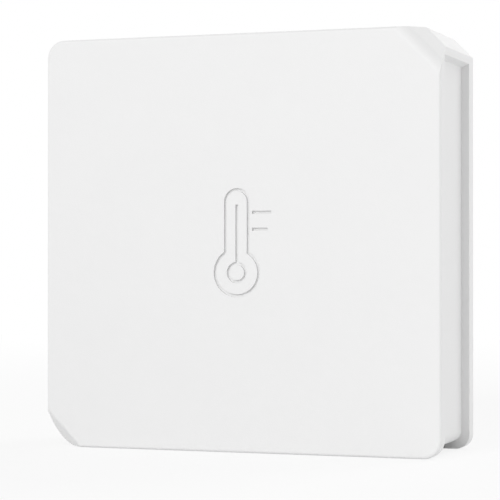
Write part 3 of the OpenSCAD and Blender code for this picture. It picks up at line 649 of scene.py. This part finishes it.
crystal_feet, crystal_ways = [], []
for node in ("radio_crystal", "clock_crystal"):
    dress(node, lidded(node + "_finish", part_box(node)[1].y - lid_height * MM))
    low, high = footprint(node)
    feet, ways = lands_round(low, high, high[1] - low[1] - corner_solder, 2, ("right", "left"))
    crystal_feet.append(feet)
    crystal_ways.append(ways)
corner_fillets = fillets(
    np.concatenate(crystal_feet), np.concatenate(crystal_ways), corner_solder, corner_solder_height,
    corner_solder_reach,
)
on_board("crystal_solder", corner_fillets, solder)

# Small components: ceramic blocks with tinned ends, soldered to the board by reflow. The capacitors are
# tan, the resistors black and the inductors grey. The lists give each one's low corner on the board.
component_length = 1.0
end_length = 0.26
end_proud = 0.012
end_corner = 0.06
end_solder_share = 0.7
end_solder_reach = 0.3
capacitor_colour = (0.40, 0.25, 0.12, 1)
resistor_colour = (0.018, 0.018, 0.020, 1)
inductor_colour = (0.10, 0.115, 0.14, 1)
capacitor_low = [
    (-17.6, 32.3), (-13.4, 32.3), (-11.3, 35.35), (-11.3, 36.25), (-11.3, 37.15), (-11.3, 38.05), (9.15, 3.9)
]
resistor_low = [(-16.2, 32.3), (-14.8, 32.3), (9.15, 3.0), (9.15, 4.8)]
inductor_low = [(-11.3, 33.35), (-11.3, 34.35)]


def blocks(low, high, height, corner, shoulder):
    """Blocks on a flat from the corners of their outlines and their heights. Round a block runs a rectangle
    with round corners; up the block it keeps its size, draws in along a quarter circle at the top, and
    closes on its middle."""
    low, high = (np.asarray(end, float)[:, None, None] for end in (low, high))
    height = np.broadcast_to(height, len(low)).astype(float)[:, None, None, None]
    quarter = np.radians(90 * np.arange(4)[:, None] + np.linspace(0, 90, 5))
    round_way = np.stack([np.cos(quarter), np.sin(quarter)], -1).reshape(-1, 2)
    corner_way = np.sign(np.stack([np.cos(quarter[:, 2]), np.sin(quarter[:, 2])], -1)).repeat(5, 0)
    lean = np.radians(np.linspace(0, 90, 4))
    inset = np.concatenate([[0, 0], shoulder * (1 - np.cos(lean)), [0]])[:, None, None]
    keep = np.array([0, 1, 1, 1, 1, 1, 0])[:, None, None]
    below_top = np.concatenate([shoulder * (1 - np.sin(lean)), [0]])[:, None, None]
    flat = (low + high) / 2 + keep * (corner_way * ((high - low) / 2 - corner) + round_way * (corner - inset))
    foot = np.zeros((len(low), 2, 1, 1))
    rise = np.concatenate([foot, height - below_top], 1)
    return np.concatenate([flat, np.broadcast_to(rise, flat.shape[:-1] + (1,))], -1)


for node, low, width, height, colour in (
    ("chip_capacitors", capacitor_low, 0.5, 0.5, capacitor_colour),
    ("chip_resistors", resistor_low, 0.5, 0.35, resistor_colour),
    ("chip_inductors", inductor_low, 0.6, 0.55, inductor_colour),
):
    dress(node, skinned(
        node + "_ceramic", moulded_skin, depth=3e-6, Colour=colour, Tone_Spread=0.2, Roughness=0.42,
        Gloss_Spread=0.2, Grain_Scale=15000.0, Cloud_Scale=3000.0,
    ))
    low = np.array(low)
    right_end = low + (component_length - end_length + end_proud, -end_proud)
    end_low = np.concatenate([low - end_proud, right_end])
    end_high = end_low + (end_length, width + 2 * end_proud)
    ends = blocks(end_low, end_high, height + end_proud, end_corner, end_corner)
    on_board(node + "_ends", ends, solder)
    right_foot = low + (component_length + end_proud, width / 2)
    end_feet = np.concatenate([low + (-end_proud, width / 2), right_foot])
    end_ways = np.repeat([(-1, 0), (1, 0)], len(low), 0)
    end_fillets = fillets(end_feet, end_ways, width, end_solder_share * height, end_solder_reach)
    on_board(node + "_solder", end_fillets, solder)

# Climate sensor: a small black package with a round port over its humidity film, soldered on the tongue of
# board beside the vents.
film_colour = (0.62, 0.55, 0.36, 1)
film_profile = ((0, 0.46), (0.49, 0.46), (0.40, 0.50), (0.18, 0.53), (0, 0.535))
sensor_land_pitch = 0.6
sensor_lands_per_side = 4
sensor_land_width = 0.3

dress("climate_sensor", chip_compound)
low, high = footprint("climate_sensor")
feet, ways = lands_round(low, high, sensor_land_pitch, sensor_lands_per_side, ("right", "left"))
sensor_fillets = fillets(feet, ways, sensor_land_width, land_height, land_reach)
on_board("sensor_lands", sensor_fillets, solder)
film = skinned(
    "humidity_film", moulded_skin, depth=2e-6, Colour=film_colour, Tone_Spread=0.25, Roughness=0.3,
    Gloss_Spread=0.2, Grain_Scale=9000.0, Cloud_Scale=4000.0,
)
on_board("sensor_film", turned(film_profile, [(low + high) / 2]), film)

# Status light: a pale ceramic base with a block of clear resin on it, on the front of the board behind the
# thinned spot of the face.
led_base_colour = (0.78, 0.76, 0.70, 1)
led_resin_colour = (0.88, 0.80, 0.46, 1)

dress("led_base", skinned(
    "light_base_ceramic", moulded_skin, depth=2e-6, Colour=led_base_colour, Tone_Spread=0.1, Roughness=0.5,
    Gloss_Spread=0.1, Grain_Scale=12000.0, Cloud_Scale=3000.0,
))
dress("led_lens", skinned(
    "light_resin", moulded_skin, depth=1e-6, Colour=led_resin_colour, Tone_Spread=0.12, Roughness=0.18,
    Gloss_Spread=0.08, Grain_Scale=9000.0, Cloud_Scale=3000.0,
))

# Reset switch: a black moulded base under a folded steel shell, with a pale plunger that presses a snap
# dome. The shell's legs and two terminals are soldered to the board.
switch_colour = (0.020, 0.020, 0.022, 1)
plunger_colour = (0.76, 0.72, 0.62, 1)
steel_colour = (0.64, 0.64, 0.63, 1)
nickel_colour = (0.70, 0.67, 0.60, 1)
dome_rise = 0.35
dome_thick = 0.075
leg_feet = [(-16.8, 10.55), (-16.8, 15.45), (-15.4, 11.9), (-15.4, 14.1)]
leg_ways = [(0, -1), (0, 1), (1, 0), (1, 0)]
leg_widths = (1.7, 1.7, 0.8, 0.8)
leg_solder_height = 0.4
leg_solder_reach = 0.4

brushed_skin, tap, sink = new_group(
    "brushed_skin",
    {"Colour": (1.0, 1.0, 1.0, 1.0), "Tone Spread": 0.1, "Roughness": 0.3, "Gloss Spread": 0.2,
     "Streak Scale": 14000.0, "Streak Length": 30.0},
    skin_outputs,
)
across, deep, up = split(brushed_skin, new_node(brushed_skin, "ShaderNodeTexCoord").outputs["Object"])
stretched = new_node(brushed_skin, "ShaderNodeCombineXYZ")
shortened = measure(brushed_skin, "DIVIDE", across, tap.outputs["Streak Length"])
for socket, value in zip(stretched.inputs, (shortened, deep, up)):
    brushed_skin.links.new(value, socket)
streaks = noise(brushed_skin, stretched.outputs[0], tap.outputs["Streak Scale"], Detail=4, Roughness=0.6)
wire_skin(brushed_skin, tap, sink, streaks, streaks)

brushed_steel = skinned(
    "brushed_steel", brushed_skin, depth=2e-6, metallic=1.0, Colour=steel_colour, Tone_Spread=0.16,
    Roughness=0.32, Gloss_Spread=0.2,
)
brushed_nickel = skinned(
    "brushed_nickel", brushed_skin, depth=2e-6, metallic=1.0, Colour=nickel_colour, Tone_Spread=0.14,
    Roughness=0.28, Gloss_Spread=0.18,
)
dress("switch_base", skinned(
    "black_switch_plastic", moulded_skin, depth=3e-6, Colour=switch_colour, Tone_Spread=0.25, Roughness=0.5,
    Gloss_Spread=0.2, Grain_Scale=12000.0, Cloud_Scale=2500.0,
))
dress("switch_plunger", skinned(
    "pale_plunger_plastic", moulded_skin, depth=3e-6, Colour=plunger_colour, Tone_Spread=0.06, Roughness=0.45,
    Gloss_Spread=0.12, Grain_Scale=9000.0, Cloud_Scale=1500.0,
))
dress("switch_shell", brushed_steel)


def bowed_leaf(back, middle, half_span, rise, thick, depths):
    """Strip bowed along Z from a flat back: each section is a rectangle between two circles about one centre,
    which stand off the back by the rise at the middle. The end sections close on their own middles."""
    along = np.linspace(-half_span, half_span, 41)
    bend = (half_span ** 2 + rise ** 2) / (2 * rise)
    inner, outer = (back - rise + bend - np.sqrt((bend + grown) ** 2 - along ** 2) for grown in (0, thick))
    across = np.stack([inner, inner, outer, outer], -1)
    deep = np.broadcast_to([depths[0], depths[1], depths[1], depths[0]], across.shape)
    high = np.broadcast_to(middle + along[:, None], across.shape)
    leaf = np.stack([across, deep, high], -1)
    ends = np.broadcast_to(leaf.mean(1, keepdims=True), leaf.shape)
    return np.concatenate([ends[:1], leaf, ends[-1:]])


dome_low, dome_high = (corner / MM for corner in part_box("switch_dome"))
dome_half_span = (dome_high.z - dome_low.z) / 2
snap_leaf = bowed_leaf(
    dome_high.x, dome_low.z + dome_half_span, dome_half_span, dome_rise, dome_thick, (dome_low.y, dome_high.y)
)
snap_dome = add_piece("snap_dome", snap_leaf * MM, brushed_nickel, "case")
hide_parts("switch_dome")
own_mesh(snap_dome)
leg_fillets = fillets(leg_feet, leg_ways, leg_widths, leg_solder_height, leg_solder_reach)
on_board("switch_solder", leg_fillets, solder)

# Cell holder: black glass-filled nylon, moulded as a ring with three noses that hold the cell and two pegs
# that locate it in the board.
holder_colour = (0.020, 0.020, 0.022, 1)

dress("battery_holder", skinned(
    "black_holder_plastic", moulded_skin, depth=6e-6, Colour=holder_colour, Tone_Spread=0.3, Roughness=0.46,
    Gloss_Spread=0.22, Grain_Scale=7000.0, Cloud_Scale=600.0,
))

# Cell contacts: leaves of nickel-plated spring strip, bent and soldered by their feet. One presses on the
# cell's side, the other under its cap.
foot_feet = [(15.8, 19.5), (14.9, 17.5), (14.9, 21.5)]
foot_ways = [(1, 0), (0, -1), (0, 1)]
foot_widths = (3.8, 1.7, 1.7)
foot_solder_height = 0.22
foot_solder_reach = 0.55

dress("positive_contact", brushed_nickel)
dress("negative_contact", brushed_nickel)
foot_fillets = fillets(foot_feet, foot_ways, foot_widths, foot_solder_height, foot_solder_reach)
on_board("contact_solder", foot_fillets, solder)

# Coin cell: a pressed steel can whose flat bottom faces the rear, crimped over a gasket and a smaller cap.
# The bottom is spun to fine rings and carries an embossed plus sign.
emboss_arm = 2.1
emboss_half_width = 0.42
emboss_height = 0.06
emboss_slope = 0.16
ring_scale = 9000
ring_breaks = 1.5
ring_level, ring_depth = 0.85, 0.3
stain_scale = 260
clean_rough, stain_rough = 0.14, 0.3
gasket_colour = (0.030, 0.030, 0.033, 1)
filling_colour = (0.05, 0.05, 0.05, 1)

spun_steel, tree, out = new_material("spun_steel")
place = new_node(tree, "ShaderNodeTexCoord").outputs["Object"]
centred = new_node(tree, "ShaderNodeMapping", Location=(0, 0, -cell_middle[1] * MM))
tree.links.new(place, centred.inputs["Vector"])
across, deep, up = split(tree, centred.outputs[0])
square = measure(tree, "ADD", measure(tree, "MULTIPLY", across, across), measure(tree, "MULTIPLY", up, up))
ringed = new_node(tree, "ShaderNodeCombineXYZ")
for socket, value, scale in zip(
    ringed.inputs, (measure(tree, "SQRT", square), measure(tree, "ARCTAN2", up, across), deep),
    (ring_scale, ring_breaks, ring_scale),
):
    tree.links.new(measure(tree, "MULTIPLY", value, scale), socket)
rings = noise(tree, ringed.outputs[0], 1, Detail=4, Roughness=0.6)
stain = noise(tree, place, stain_scale, Detail=5, Roughness=0.6)
spun_colour = scaled(tree, steel_colour[:3], measure(tree, "MULTIPLY_ADD", rings, ring_depth, ring_level))
spun_gloss = measure(tree, "MULTIPLY_ADD", stain, stain_rough, clean_rough)
shade(tree, out, spun_colour, spun_gloss, rings, depth=2e-6, metallic=1.0)
dress("cell_can", spun_steel)
dress("cell_cap", spun_steel)
dress("cell_gasket", skinned(
    "dark_gasket", moulded_skin, depth=3e-6, Colour=gasket_colour, Tone_Spread=0.2, Roughness=0.6,
    Gloss_Spread=0.15, Grain_Scale=9000.0, Cloud_Scale=1200.0,
))
dress("cell_core", skinned(
    "pressed_filling", moulded_skin, depth=8e-6, Colour=filling_colour, Tone_Spread=0.4, Roughness=0.8,
    Gloss_Spread=0.1, Grain_Scale=5000.0, Cloud_Scale=900.0,
))
can_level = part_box("cell_can")[1].y / MM
plus_sign = raised_plus(cell_middle, emboss_arm, emboss_half_width, emboss_height, emboss_slope)
add_piece("cell_plus", on_flat(plus_sign, can_level), spun_steel, "case")

# Rear cover: moulded like the front in the same white plastic, and held by four snap hooks. Inside it has
# low ribs that stiffen its floor and the round marks of the ejector pins.
cover_level = 5.8
rib_height = 0.3
rib_width = 0.8
rib_stations = np.array([8.3, 12.0, 17.0])
rib_ways = np.array([(1, 1), (-1, 1), (-1, -1), (1, -1)]) / math.sqrt(2)
ring_section = np.array([(7.6, 0), (7.6, 0.7), (7.75, 1), (8.25, 1), (8.4, 0.7), (8.4, 0)]) * (1, rib_height)
ejector_profile = ((0, 0), (1.35, 0), (1.30, 0.05), (1.20, 0.06), (1.12, 0.02), (0, 0.015))
ejector_at = [(-14.5, 7.0), (14.5, 7.0), (-14.5, 36.0), (14.5, 36.0)]

dress("rear_cover", white_plastic)
rib_paths = cell_middle + rib_ways[:, None] * rib_stations[:, None]
for name, points, looped in (
    ("ejector_marks", turned(ejector_profile, ejector_at, sides=40), False),
    ("ring_rib", turned(ring_section, [cell_middle], sides=72), True),
    ("corner_ribs", strips(rib_paths, rib_width, rib_height), False),
):
    add_piece(name, on_flat(points, cover_level, -1), white_plastic, "rear_cover", looped)
